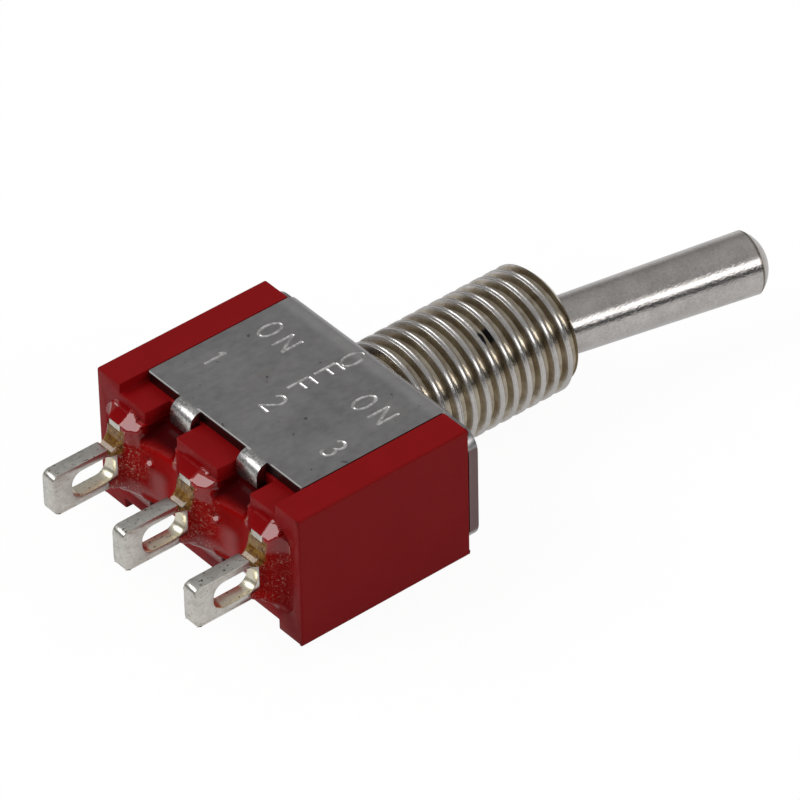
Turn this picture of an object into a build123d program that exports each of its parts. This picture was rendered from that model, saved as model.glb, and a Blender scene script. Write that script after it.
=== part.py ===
from build123d import *
import math
import os

# Miniature on-off-on toggle switch for a panel, lying on one steel face of its frame.
# All sizes are in millimetres. The origin is on the bushing's axis, in the steel face that seats
# against the panel. Y runs along the bushing towards the lever, X along the case, and Z is up.

# Case: a moulded cup, open towards the frame's web, with a shallow recess on the lug side
case_length = 13.28
case_height = 6.67
case_depth = 9.0
case_edge_radius = 0.1
rib_width = 1.54
end_wall = 1.0
side_wall = 0.63
cavity_radius = 0.3
recess_depth = 1.48
recess_end_wall = 0.55
recess_side_wall = 0.68
recess_radius = 0.9
notch_width = 2.06
notch_offset = 2.4
well_length = 3.8
lug_slit_gap = 0.03

# Frame: one sheet folded to a U, with hooks curled round the case
sheet = 0.48
sheet_gap = 0.02
bend_inner_radius = 0.14
ear_corner_radius = 0.9
leg_side_gap = 0.05
leg_corner_radius = 0.15
block_length = 1.45
hook_width = 1.34
hook_offset = 2.18
hook_inner_radius = 0.1
hook_tip_gap = 0.1

# Bushing
thread_diameter = 5.9
bushing_length = 8.9
thread_chamfer = 0.32
thread_pitch = 0.75
thread_groove_depth = 0.42
thread_flank_angle = 60.0
thread_runout = 0.25
neck_diameter = 4.7
collar_diameter = 5.2
collar_height = 0.47
collar_gap = 0.06
bushing_mouth_diameter = 4.2
bushing_throat_diameter = 3.24
bushing_foot_diameter = 4.3

# Lever, measured from the centre of its ball
pivot_height = 6.02
throw_angle = 12.0
ball_diameter = 3.8
ball_gap = 0.06
lever_neck_diameter = 2.58
lever_tip_diameter = 2.9
lever_tip_height = 12.75
dome_height = 0.75
skirt_diameter = 2.5
skirt_depth = 2.6
bore_diameter = 1.6
bore_top = 1.6
drill_point = 0.3

# Plunger and its spring, measured from the centre of the ball
plunger_gap = 0.08
plunger_top = -0.2
plunger_guide_end = -3.4
plunger_taper = 0.4
nose_diameter = 1.0
nose_reach = 8.95
spring_wire = 0.18
spring_turns = 4
spring_gap = 0.1

# Rocker, contacts and cradle
nose_gap = 0.08
tip_ratio = 0.4
rocker_sheet = 0.3
rocker_width = 2.0
rocker_length = 8.5
rocker_hollow = 3.9
tail_rise = 0.4
ear_length = 0.7
ear_reach = 0.6
contact_offset = 3.6
moving_contact_diameter = 1.3
moving_contact_height = 0.35
contact_dome_radius = 1.5
contact_gap = 0.03
fixed_contact_diameter = 1.3
fixed_contact_height = 0.4
rivet_shank_diameter = 0.6
rivet_gap = 0.01
cradle_sheet = 0.3
cradle_length = 1.8
cradle_side_gap = 0.2
cradle_depth = 1.99
cradle_ear_rise = 0.45
ear_notch_width = 0.95
ear_notch_gap = 0.05

# Solder lugs
lug_pitch = 4.7
lug_sheet = 0.75
lug_width = 2.08
lug_reach = 4.22
lug_corner_radius = 0.35
lug_slot_length = 2.25
lug_slot_width = 1.3
lug_slot_radius = 0.55
lug_slot_from_tip = 1.0
lug_neck_depth = 0.3
lug_neck_start = 0.15
lug_neck_end = 1.3
foot_inner_radius = 0.1
foot_margin = 0.08
tenon_width = 1.0
tenon_gap = 0.02

# Resin
resin_below_rim = 0.06
valley_width = 0.65
mound_height = 1.0
mound_foot_length = 2.7
mound_foot_width = 4.1
mound_waist_share = 0.35
mound_waist_length = 1.8
mound_waist_width = 2.95
mound_top_length = 1.0
mound_top_width = 2.3

# Places along the bushing's axis
web_inner_y = -sheet
rim_y = web_inner_y - case_depth
leg_end_y = rim_y + block_length
recess_floor_y = rim_y + recess_depth
hook_face_y = leg_end_y - hook_inner_radius
lug_tip_y = rim_y - lug_reach

# Heights above and below the middle of the case
channel_depth = sheet + sheet_gap
channel_z = case_height / 2 - channel_depth
channel_width = case_length - 2 * rib_width
leg_z = case_height / 2
leg_width = channel_width - 2 * leg_side_gap
recess_z = channel_z - recess_side_wall
cavity_z = channel_z - side_wall

# The mechanism hangs from the ball: nose, then rocker, then cradle
nose_radius = nose_diameter / 2
tip_angle = throw_angle * tip_ratio
fulcrum_y = pivot_height - nose_reach - nose_gap - rocker_sheet
well_y = fulcrum_y - cradle_depth


def rotated(x, y, degrees):
    """Point turned about the origin, in the plane the lever moves in."""
    turn = math.radians(degrees)
    return x * math.cos(turn) - y * math.sin(turn), x * math.sin(turn) + y * math.cos(turn)


# The hollow of the rocker follows the nose, seen from the rocker as both turn together
nose_arm = nose_reach - nose_radius
nose_thrown_x = -nose_arm * math.sin(math.radians(throw_angle))
nose_thrown_y = pivot_height - nose_arm * math.cos(math.radians(throw_angle)) - fulcrum_y
nose_x, nose_y = rotated(nose_thrown_x, nose_thrown_y, -tip_angle)
nose_centre_y = pivot_height - nose_arm - fulcrum_y
nose_rise = nose_y - nose_centre_y
nose_path_radius = (nose_x ** 2 + nose_rise ** 2) / (2 * nose_rise)
hollow_radius = nose_path_radius + nose_radius + nose_gap
hollow_angle = math.asin(rocker_hollow / 2 / hollow_radius)
tail_y = rocker_sheet + hollow_radius * (1 - math.cos(hollow_angle)) + tail_rise * math.tan(hollow_angle)

# The fixed contacts lie just under the moving ones when the lever is thrown
dome_centre_y = tail_y - rocker_sheet - moving_contact_height + contact_dome_radius
closed_x, closed_y = rotated(-contact_offset, dome_centre_y, tip_angle)
fixed_contact_x = -closed_x
fixed_contact_y = fulcrum_y + closed_y - contact_dome_radius - contact_gap
foot_y = fixed_contact_y - fixed_contact_height
ledge_y = foot_y - lug_sheet


def column(sketch, y_from, y_to):
    """Solid with an outline drawn in X and Z, between two places on the bushing's axis."""
    plane = Plane(origin=(0, y_from, 0), x_dir=(1, 0, 0), z_dir=(0, -1, 0))
    return extrude(plane * sketch, amount=y_from - y_to)


def across(sketch, width):
    """Solid with an outline drawn in Y and Z, centred on the middle of the case."""
    return extrude(Plane.YZ * sketch, amount=width / 2, both=True)


def block(x_range, y_range, z_range):
    sizes = [high - low for low, high in (x_range, y_range, z_range)]
    middle = [(high + low) / 2 for low, high in (x_range, y_range, z_range)]
    return Pos(*middle) * Box(*sizes)


def turned(*edges):
    """Solid of revolution about Y from an outline drawn in X and Y."""
    return revolve(make_face(Curve() + list(edges)), axis=Axis.Y)


def make_case():
    body = column(RectangleRounded(case_length, case_height, case_edge_radius), web_inner_y, rim_y)
    recess = RectangleRounded(case_length - 2 * recess_end_wall, 2 * recess_z, recess_radius)
    cavity = RectangleRounded(case_length - 2 * end_wall, 2 * cavity_z, cavity_radius)
    body -= column(recess, recess_floor_y, rim_y)
    body -= column(cavity, web_inner_y, ledge_y)
    body -= column(Rectangle(well_length, 2 * cavity_z), ledge_y, well_y)
    collar_pocket = Circle(collar_diameter / 2 + collar_gap)
    body -= column(collar_pocket, web_inner_y, web_inner_y - collar_height - collar_gap)
    slit = Rectangle(lug_sheet + 2 * lug_slit_gap, lug_width + 2 * lug_slit_gap)
    for x, y in ((-lug_pitch, ledge_y), (0, well_y), (lug_pitch, ledge_y)):
        body -= column(Pos(x, 0) * slit, y, recess_floor_y)
    for side in (-1, 1):
        outer_z, inner_z = side * case_height, side * channel_z
        channel = (min(outer_z, inner_z), max(outer_z, inner_z))
        body -= block((-channel_width / 2, channel_width / 2), (rim_y, web_inner_y), channel)
        notch_z = side * (recess_z - recess_side_wall / 2)
        notch = (min(outer_z, notch_z), max(outer_z, notch_z))
        for x in (-notch_offset, notch_offset):
            x_range = (x - notch_width / 2, x + notch_width / 2)
            body -= block(x_range, (rim_y, hook_face_y + sheet_gap), notch)
    top_edges = body.edges().filter_by(Axis.X).group_by(Axis.Y)[-1]
    fold_edges = [edge for edge in top_edges if abs(abs(edge.center().Z) - channel_z) < channel_depth / 2]
    return chamfer(fold_edges, bend_inner_radius)


def make_frame_bracket():
    outer = Pos(leg_end_y / 2, 0) * Rectangle(-leg_end_y, 2 * leg_z)
    outer = fillet(outer.vertices().group_by(Axis.X)[-1], bend_inner_radius + sheet)
    inner = Pos((leg_end_y + web_inner_y) / 2, 0) * Rectangle(web_inner_y - leg_end_y, 2 * (leg_z - sheet))
    inner = fillet(inner.vertices().group_by(Axis.X)[-1], bend_inner_radius)
    legs = across(outer - inner, leg_width)
    leg_corners = legs.edges().filter_by(Axis.Z).group_by(Axis.Y)[0]
    legs = fillet(leg_corners, leg_corner_radius)
    ears = column(RectangleRounded(case_length, 2 * channel_z, ear_corner_radius), 0, web_inner_y)
    frame = legs + ears
    for side in (-1, 1):
        for x in (-hook_offset, hook_offset):
            frame += Pos(x, 0, 0) * make_hook(side)
    return frame - column(Circle(neck_diameter / 2), sheet, 2 * web_inner_y)


def make_hook(side):
    """Tab at the end of a leg, bent a quarter turn towards the middle of the case."""
    bend_z = leg_z - sheet - hook_inner_radius
    outer_radius = hook_inner_radius + sheet
    tip_z = recess_z + hook_tip_gap
    ring = Circle(outer_radius) - Circle(hook_inner_radius)
    quarter = Pos(-outer_radius, outer_radius) * Rectangle(2 * outer_radius, 2 * outer_radius)
    bend = Pos(leg_end_y, bend_z) * (ring & quarter)
    tail = Pos(hook_face_y - sheet / 2, (bend_z + tip_z) / 2) * Rectangle(sheet, bend_z - tip_z)
    hook = across(bend + tail, hook_width)
    if side < 0:
        hook = mirror(hook, about=Plane.XY)
    return hook


def make_bushing():
    outer = thread_diameter / 2
    neck = neck_diameter / 2
    collar = collar_diameter / 2
    foot_y_low = web_inner_y - collar_height
    mouth = bushing_mouth_diameter / 2
    throat = bushing_throat_diameter / 2
    seat = ball_diameter / 2 + ball_gap
    throat_rise = math.sqrt(seat ** 2 - throat ** 2)
    half_angle = math.asin(throat / seat) + (math.pi / 2 - math.asin(throat / seat)) / 2
    seat_middle = (seat * math.sin(half_angle), pivot_height + seat * math.cos(half_angle))
    foot = bushing_foot_diameter / 2
    thread_end = bushing_length - thread_chamfer
    half_groove = thread_groove_depth * math.tan(math.radians(thread_flank_angle / 2))
    grooves = int((thread_end - thread_runout) / thread_pitch)
    outline = [(seat, pivot_height), (seat, pivot_height - skirt_depth), (foot, foot_y_low),
               (collar, foot_y_low), (collar, web_inner_y), (neck, web_inner_y), (neck, 0), (outer, 0)]
    for turn in range(grooves):  # rings, not a helix: the thread's form without its lead
        y = thread_runout + turn * thread_pitch + half_groove
        outline += [(outer, y - half_groove), (outer - thread_groove_depth, y), (outer, y + half_groove)]
    outline += [(outer, thread_end), (outer - thread_chamfer, bushing_length), (mouth, bushing_length),
                (throat, pivot_height + throat_rise)]
    seat_arc = ThreePointArc(outline[-1], seat_middle, outline[0])
    return turned(Polyline(*outline), seat_arc)


def make_lever():
    ball = ball_diameter / 2
    neck = lever_neck_diameter / 2
    tip = lever_tip_diameter / 2
    skirt = skirt_diameter / 2
    bore = bore_diameter / 2
    neck_y = math.sqrt(ball ** 2 - neck ** 2)
    skirt_y = -math.sqrt(ball ** 2 - skirt ** 2)
    dome_radius = (tip ** 2 + dome_height ** 2) / (2 * dome_height)
    dome_half = math.asin(tip / dome_radius) / 2
    apex = lever_tip_height + dome_height
    dome_middle = (dome_radius * math.sin(dome_half), apex - dome_radius * (1 - math.cos(dome_half)))
    return turned(ThreePointArc((0, apex), dome_middle, (tip, lever_tip_height)),
                  Line((tip, lever_tip_height), (neck, neck_y)),
                  ThreePointArc((neck, neck_y), (ball, 0), (skirt, skirt_y)),
                  Polyline((skirt, skirt_y), (skirt, -skirt_depth), (bore, -skirt_depth), (bore, bore_top),
                           (0, bore_top + drill_point), (0, apex)))


def make_plunger():
    guide = bore_diameter / 2 - plunger_gap
    arm_end = (nose_radius, -nose_arm)
    diagonal = math.sqrt(0.5) * nose_radius
    return turned(Polyline((0, -nose_reach), (0, plunger_top), (guide, plunger_top),
                           (guide, plunger_guide_end), (nose_radius, plunger_guide_end - plunger_taper),
                           arm_end),
                  ThreePointArc(arm_end, (diagonal, -nose_arm - diagonal), (0, -nose_reach)))


def make_spring():
    """Coil of six-sided wire, which stands for round wire with far fewer facets."""
    coil_radius = bore_diameter / 2 - spring_gap - spring_wire / 2
    start = plunger_top + spring_wire / 2
    height = bore_top - plunger_top - spring_wire
    coil = Helix(height / spring_turns, height, coil_radius, center=(0, start, 0), direction=(0, 1, 0))
    section = Plane(origin=coil @ 0, z_dir=coil % 0) * RegularPolygon(spring_wire / 2, 6)
    return sweep(section, path=coil, is_frenet=True)


def make_rocker():
    inner_angle = hollow_angle / 2
    top, low = hollow_radius, hollow_radius + rocker_sheet
    centre_y = rocker_sheet + hollow_radius
    end_x = rocker_length / 2
    kink_x = top * math.sin(hollow_angle) + tail_rise
    low_kink_x = kink_x + rocker_sheet * math.tan(inner_angle)

    def on_arc(radius, angle):
        return radius * math.sin(angle), centre_y - radius * math.cos(angle)

    top_end, low_end = on_arc(top, hollow_angle), on_arc(low, hollow_angle)
    right = [top_end, (kink_x, tail_y), (end_x, tail_y), (end_x, tail_y - rocker_sheet),
             (low_kink_x, tail_y - rocker_sheet), low_end]
    left = [(-x, y) for x, y in right]
    outline = Curve() + [ThreePointArc(left[0], (0, rocker_sheet), right[0]), Polyline(*right),
                         ThreePointArc(right[-1], (0, 0), left[-1]), Polyline(*left[::-1])]
    strip = extrude(make_face(outline), amount=rocker_width / 2, both=True)
    ear_z = rocker_width / 2 + ear_reach
    strip += block((-ear_length / 2, ear_length / 2), (0, rocker_sheet), (-ear_z, ear_z))
    hole = rivet_shank_diameter / 2 + rivet_gap
    for x in (-contact_offset, contact_offset):
        strip -= Pos(x, 0) * column(Circle(hole), tail_y + rocker_sheet, 0)
    return strip


def make_moving_contact(side):
    """Rivet with a domed head under the rocker's end."""
    radius = moving_contact_diameter / 2
    edge_drop = contact_dome_radius - math.sqrt(contact_dome_radius ** 2 - radius ** 2)
    low_y = tail_y - rocker_sheet - moving_contact_height
    seat_y = tail_y - rocker_sheet
    half = math.asin(radius / contact_dome_radius) / 2
    middle = (contact_dome_radius * math.sin(half), low_y + contact_dome_radius * (1 - math.cos(half)))
    head = turned(ThreePointArc((0, low_y), middle, (radius, low_y + edge_drop)),
                  Polyline((radius, low_y + edge_drop), (radius, seat_y), (0, seat_y), (0, low_y)))
    shank = column(Circle(rivet_shank_diameter / 2), tail_y, seat_y)
    return Pos(side * contact_offset, 0, 0) * (head + shank)


def make_fixed_contact(side):
    """Rivet with a flat head on the folded foot of an end lug."""
    head = column(Circle(fixed_contact_diameter / 2), fixed_contact_y, foot_y)
    shank = column(Circle(rivet_shank_diameter / 2), foot_y, ledge_y)
    return Pos(side * fixed_contact_x, 0, 0) * (head + shank)


def make_cradle():
    inner_z = rocker_width / 2 + cradle_side_gap
    outer_z = inner_z + cradle_sheet
    top_y = fulcrum_y + cradle_ear_rise
    outer = Pos((well_y + top_y) / 2, 0) * Rectangle(top_y - well_y, 2 * outer_z)
    outer = fillet(outer.vertices().group_by(Axis.X)[0], 2 * cradle_sheet)
    base_y = well_y + cradle_sheet
    inner = Pos((base_y + top_y) / 2, 0) * Rectangle(top_y - base_y, 2 * inner_z)
    inner = fillet(inner.vertices().group_by(Axis.X)[0], cradle_sheet)
    cradle = across(outer - inner, cradle_length)
    half_notch = ear_notch_width / 2
    cradle -= block((-half_notch, half_notch), (fulcrum_y - ear_notch_gap, top_y), (-outer_z, outer_z))
    tenon_x, tenon_z = lug_sheet / 2 + tenon_gap, tenon_width / 2 + tenon_gap
    return cradle - block((-tenon_x, tenon_x), (well_y, base_y), (-tenon_z, tenon_z))


def lug_outline(y_top):
    """Flat outline of a solder lug: rounded tip, slotted eye and a waist where the resin grips."""
    half = lug_width / 2
    blank = Pos((y_top + lug_tip_y) / 2, 0) * Rectangle(y_top - lug_tip_y, lug_width)
    blank = fillet(blank.vertices().group_by(Axis.X)[0], lug_corner_radius)
    slot_y = lug_tip_y + lug_slot_from_tip + lug_slot_length / 2
    blank -= Pos(slot_y, 0) * RectangleRounded(lug_slot_length, lug_slot_width, lug_slot_radius)
    neck_y = rim_y - (lug_neck_start + lug_neck_end) / 2
    for side in (-1, 1):
        waist = Rectangle(lug_neck_end - lug_neck_start, 2 * lug_neck_depth)
        blank -= Pos(neck_y, side * half) * waist
    return blank


def make_common_terminal():
    lug = across(lug_outline(well_y), lug_sheet)
    tenon = block((-lug_sheet / 2, lug_sheet / 2), (well_y, well_y + cradle_sheet),
                  (-tenon_width / 2, tenon_width / 2))
    return lug + tenon


def make_end_terminal(side):
    """Lug whose inner end is folded towards the middle to carry a fixed contact."""
    foot_end = fixed_contact_x - fixed_contact_diameter / 2 - foot_margin
    outer_x = lug_pitch + lug_sheet / 2
    inner_x = lug_pitch - lug_sheet / 2
    outer = Pos((foot_end + outer_x) / 2, (foot_y + lug_tip_y) / 2)
    strip = outer * Rectangle(outer_x - foot_end, foot_y - lug_tip_y)
    corner = strip.vertices().group_by(Axis.Y)[-1].sort_by(Axis.X)[-1]
    strip = fillet(corner, foot_inner_radius + lug_sheet)
    under = Pos((foot_end + inner_x) / 2, (ledge_y + lug_tip_y) / 2)
    hollow = under * Rectangle(inner_x - foot_end, ledge_y - lug_tip_y)
    corner = hollow.vertices().group_by(Axis.Y)[-1].sort_by(Axis.X)[-1]
    hollow = fillet(corner, foot_inner_radius)
    folded = extrude(strip - hollow, amount=lug_width / 2, both=True)
    folded &= across(lug_outline(foot_y), 2 * case_length)
    hole = rivet_shank_diameter / 2 + rivet_gap
    folded -= Pos(fixed_contact_x, 0, 0) * column(Circle(hole), foot_y, ledge_y)
    if side < 0:
        folded = mirror(folded, about=Plane.YZ)
    return folded


def make_potting(terminals):
    """Resin cast in the recess, creeping up each lug and falling away to the hooks in the notches."""
    resin_y = rim_y + resin_below_rim
    recess = RectangleRounded(case_length - 2 * recess_end_wall, 2 * recess_z, recess_radius)
    resin = column(recess, recess_floor_y, resin_y)
    waist_y = resin_y - mound_waist_share * mound_height
    top_y = resin_y - mound_height
    levels = [(resin_y, mound_foot_length, mound_foot_width), (waist_y, mound_waist_length, mound_waist_width),
              (top_y, mound_top_length, mound_top_width)]
    for x in (-lug_pitch, 0, lug_pitch):
        sections = []
        for y, length, width in levels:
            plane = Plane(origin=(x, y, 0), x_dir=(1, 0, 0), z_dir=(0, -1, 0))
            sections.append(plane * RectangleRounded(length, width, length * 0.49))
        resin += loft(sections, ruled=True)
    valley = Polyline((resin_y, recess_z - valley_width), (hook_face_y - sheet, recess_z),
                      (resin_y, recess_z), close=True)
    valley = across(make_face(valley), notch_width)
    for x in (-notch_offset, notch_offset):
        placed = Pos(x, 0, 0) * valley
        resin -= placed + mirror(placed, about=Plane.XY)
    for terminal in terminals:
        resin -= terminal
    return resin


def thrown(piece):
    """From the lever's own upright frame to the switch at rest, lever thrown to +X."""
    return Pos(0, pivot_height, 0) * Rot(0, 0, -throw_angle) * piece


def tipped(piece):
    """From the rocker's own level frame to the switch at rest, -X side pressed down."""
    return Pos(0, fulcrum_y, 0) * Rot(0, 0, tip_angle) * piece


common_terminal = make_common_terminal()
end_terminals = {side: make_end_terminal(side) for side in (-1, 1)}
pieces = {
    "case": make_case(),
    "frame_bracket": make_frame_bracket(),
    "bushing": make_bushing(),
    "lever": thrown(make_lever()),
    "plunger": thrown(make_plunger()),
    "plunger_spring": thrown(make_spring()),
    "rocker": tipped(make_rocker()),
    "rocker_cradle": make_cradle(),
    "common_terminal": common_terminal,
    "potting_seal": make_potting([common_terminal, *end_terminals.values()]),
}
for side, name in ((-1, "left"), (1, "right")):
    pieces[f"moving_contact_{name}"] = tipped(make_moving_contact(side))
    pieces[f"fixed_contact_{name}"] = make_fixed_contact(side)
    pieces[f"end_terminal_{name}"] = end_terminals[side]

os.makedirs("parts", exist_ok=True)
for name, piece in pieces.items():
    export_step(piece, f"parts/{name}.step")
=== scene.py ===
import bpy
import math
from mathutils import Matrix, Vector


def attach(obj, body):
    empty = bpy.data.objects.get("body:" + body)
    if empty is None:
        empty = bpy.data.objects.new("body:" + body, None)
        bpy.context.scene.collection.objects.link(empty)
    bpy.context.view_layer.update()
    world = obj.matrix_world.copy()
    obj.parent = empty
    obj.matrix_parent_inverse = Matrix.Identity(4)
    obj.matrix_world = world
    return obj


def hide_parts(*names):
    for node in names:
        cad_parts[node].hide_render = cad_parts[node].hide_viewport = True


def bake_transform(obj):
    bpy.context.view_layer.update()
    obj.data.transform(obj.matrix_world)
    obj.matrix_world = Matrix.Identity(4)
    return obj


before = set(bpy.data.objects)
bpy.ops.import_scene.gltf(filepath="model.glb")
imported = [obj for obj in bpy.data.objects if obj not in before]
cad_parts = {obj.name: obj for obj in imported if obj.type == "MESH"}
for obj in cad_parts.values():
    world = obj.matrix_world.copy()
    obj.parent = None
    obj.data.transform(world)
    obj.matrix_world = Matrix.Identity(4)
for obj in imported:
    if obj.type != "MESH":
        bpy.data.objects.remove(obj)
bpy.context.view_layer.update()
toMm = 1000.0  # pieces are shaped in millimetres, then brought to metres

# Measures that several pieces share, in millimetres and degrees
shared = {
    "pivot": 6.02,  # middle of the lever's ball, along the bushing
    "throw": 12,  # the lever's lean at rest
    "lugPitch": 4.7,
    "hook": 2.4,  # from the middle to each hook and to the notch that it sits in
    "dimples": ((-2.83, 0.72), (1.66, 0.62)),  # small glossy hollows in the resin
}

# Small tools


def clearSelection():
    if bpy.context.object and bpy.context.object.mode != "OBJECT":
        bpy.ops.object.mode_set(mode="OBJECT")
    bpy.ops.object.select_all(action="DESELECT")


def pick(piece):
    clearSelection()
    piece.select_set(True)
    bpy.context.view_layer.objects.active = piece


def editAll(piece):
    pick(piece)
    bpy.ops.object.mode_set(mode="EDIT")
    bpy.ops.mesh.select_mode(type="VERT")
    bpy.ops.mesh.select_all(action="SELECT")


def endEdit():
    bpy.ops.object.mode_set(mode="OBJECT")


def placeObject():
    bpy.ops.object.transform_apply(location=True, rotation=True, scale=True)


def applyModifier(piece, kind, **settings):
    pick(piece)
    modifier = piece.modifiers.new(kind.title(), kind)
    for key, value in settings.items():
        setattr(modifier, key, value)
    bpy.ops.object.modifier_apply(modifier=modifier.name)


def combine(piece, other, operation, selfCross=False):
    applyModifier(piece, "BOOLEAN", object=other, operation=operation, solver="EXACT", use_self=selfCross)
    bpy.data.objects.remove(other)


def closeUp(piece, merge=0.0005):  # merges doubles and turns the faces outwards
    editAll(piece)
    bpy.ops.mesh.remove_doubles(threshold=merge)
    bpy.ops.mesh.normals_make_consistent(inside=False)
    endEdit()


def traceOutline(name, points):  # points are (radius, height) when the outline is spun
    clearSelection()
    bpy.ops.mesh.primitive_plane_add(size=0.01, location=(0, 0, 0))
    piece = bpy.context.object
    piece.name = name
    bpy.ops.object.mode_set(mode="EDIT")
    bpy.ops.mesh.select_all(action="SELECT")
    bpy.ops.mesh.merge(type="CENTER")
    last = Vector((*points[0], 0))
    bpy.ops.transform.translate(value=last)
    for point in points[1:]:
        here = Vector((*point, 0))
        bpy.ops.mesh.extrude_region_move(TRANSFORM_OT_translate={"value": here - last})
        last = here
    endEdit()
    return piece


def turnedPiece(name, points, steps):
    piece = traceOutline(name, points)
    editAll(piece)
    bpy.ops.mesh.spin(steps=steps, angle=2 * math.pi, center=(0, 0, 0), axis=(0, 1, 0))
    endEdit()
    closeUp(piece)
    return piece


def breakEdges(piece, width, clamp):
    applyModifier(piece, "BEVEL", width=width, segments=2, limit_method="ANGLE", angle_limit=math.radians(40),
                  use_clamp_overlap=clamp)


def softEdges(piece, width):
    corners = [vertex.co for vertex in piece.data.vertices]
    low = [min(c[i] for c in corners) for i in range(3)]
    high = [max(c[i] for c in corners) for i in range(3)]
    breakEdges(piece, width, False)
    for vertex in piece.data.vertices:  # a corner of a fold can overshoot, so it is drawn back
        vertex.co = [min(max(vertex.co[i], low[i]), high[i]) for i in range(3)]


def nodeCopy(nodeName, name):
    clearSelection()
    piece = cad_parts[nodeName].copy()
    piece.data = piece.data.copy()
    piece.name = name
    piece.parent = None
    for key in list(piece.keys()):
        del piece[key]
    bpy.context.scene.collection.objects.link(piece)
    piece.data.materials.clear()
    pick(piece)
    bpy.ops.mesh.customdata_custom_splitnormals_clear()
    piece.data.transform(Matrix.Scale(toMm, 4))
    editAll(piece)
    bpy.ops.mesh.remove_doubles(threshold=0.001)
    endEdit()
    return piece


def finish(piece, material, body, nodes, smooth=35, even=False):
    pick(piece)
    piece.scale = (1 / toMm,) * 3
    placeObject()
    bpy.ops.object.shade_smooth_by_angle(angle=math.radians(smooth))
    if even:
        applyModifier(piece, "WEIGHTED_NORMAL", mode="FACE_AREA", weight=50, keep_sharp=True)
    piece.data.materials.clear()
    piece.data.materials.append(material)
    if body:
        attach(piece, body)
    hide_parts(*nodes)
    return piece


# Materials: masks are in millimetres on the piece's own Object coordinates


def newMaterial(name):
    material = bpy.data.materials.new(name)
    material.use_nodes = True
    tree = material.node_tree
    return material, tree, tree.nodes["Principled BSDF"]


def node(tree, kind, **settings):
    made = tree.nodes.new(kind)
    for key, value in settings.items():
        if key in made.inputs:
            made.inputs[key].default_value = value
        else:
            setattr(made, key, value)
    return made


def feed(tree, value, socket):
    if isinstance(value, (int, float)):
        socket.default_value = value
    elif isinstance(value, tuple):
        socket.default_value = (*value, 1)
    else:
        tree.links.new(value, socket)


def mmCoords(tree, scale=(1, 1, 1), offset=(0, 0, 0)):
    coords = tree.nodes.new("ShaderNodeTexCoord")
    mapping = tree.nodes.new("ShaderNodeMapping")
    mapping.inputs["Scale"].default_value = tuple(toMm * s for s in scale)
    mapping.inputs["Location"].default_value = offset
    tree.links.new(coords.outputs["Object"], mapping.inputs["Vector"])
    return mapping.outputs["Vector"]


def noise(tree, where, scale, detail=4, rough=0.55):
    made = node(tree, "ShaderNodeTexNoise", Scale=scale, Detail=detail, Roughness=rough)
    tree.links.new(where, made.inputs["Vector"])
    return made.outputs["Fac"]


def ramp(tree, value, stops):
    made = tree.nodes.new("ShaderNodeValToRGB")
    while len(made.color_ramp.elements) < len(stops):
        made.color_ramp.elements.new(0.5)
    for element, (place, colour) in zip(made.color_ramp.elements, stops):
        element.position = place
        element.color = (*colour, 1) if isinstance(colour, tuple) else (colour, colour, colour, 1)
    tree.links.new(value, made.inputs["Fac"])
    return made.outputs["Color"]


def twoTone(tree, value, tones, low=0.3, high=0.7):
    return ramp(tree, value, [(low, tones[0]), (high, tones[1])])


def sums(tree, operation, first, second=None, third=None):
    made = node(tree, "ShaderNodeMath", operation=operation)
    for socket, value in zip(made.inputs, (first, second, third)):
        if value is not None:
            feed(tree, value, socket)
    return made.outputs[0]


def product(tree, *shares):
    result = shares[0]
    for share in shares[1:]:
        result = sums(tree, "MULTIPLY", result, share)
    return result


def most(tree, *shares):
    result = shares[0]
    for share in shares[1:]:
        result = sums(tree, "MAXIMUM", result, share)
    return result


def away(tree, value, middle=0):
    if middle:
        value = sums(tree, "SUBTRACT", value, middle)
    return sums(tree, "ABSOLUTE", value)


def fade(tree, value, low, high):
    made = node(tree, "ShaderNodeMapRange", interpolation_type="SMOOTHSTEP")
    feed(tree, value, made.inputs["Value"])
    made.inputs["From Min"].default_value = low
    made.inputs["From Max"].default_value = high
    return made.outputs["Result"]


def blend(tree, share, first, second):
    made = node(tree, "ShaderNodeMix", data_type="RGBA")
    feed(tree, share, made.inputs[0])
    feed(tree, first, made.inputs[6])
    feed(tree, second, made.inputs[7])
    return made.outputs[2]


def axes(tree, names):
    split = tree.nodes.new("ShaderNodeSeparateXYZ")
    tree.links.new(mmCoords(tree), split.inputs[0])
    return [split.outputs[name] for name in names]


def facing(tree, axis):
    split = tree.nodes.new("ShaderNodeSeparateXYZ")
    tree.links.new(tree.nodes.new("ShaderNodeTexCoord").outputs["Normal"], split.inputs[0])
    return split.outputs[axis]


def distance(tree, point, stretch):
    made = node(tree, "ShaderNodeVectorMath", operation="LENGTH")
    offset = tuple(-p * s for p, s in zip(point, stretch))
    tree.links.new(mmCoords(tree, stretch, offset), made.inputs[0])
    return made.outputs["Value"]


def bump(tree, shader, height, strength, depth):
    made = node(tree, "ShaderNodeBump", Strength=strength, Distance=depth / toMm)
    feed(tree, height, made.inputs["Height"])
    tree.links.new(made.outputs["Normal"], shader.inputs["Normal"])


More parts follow.
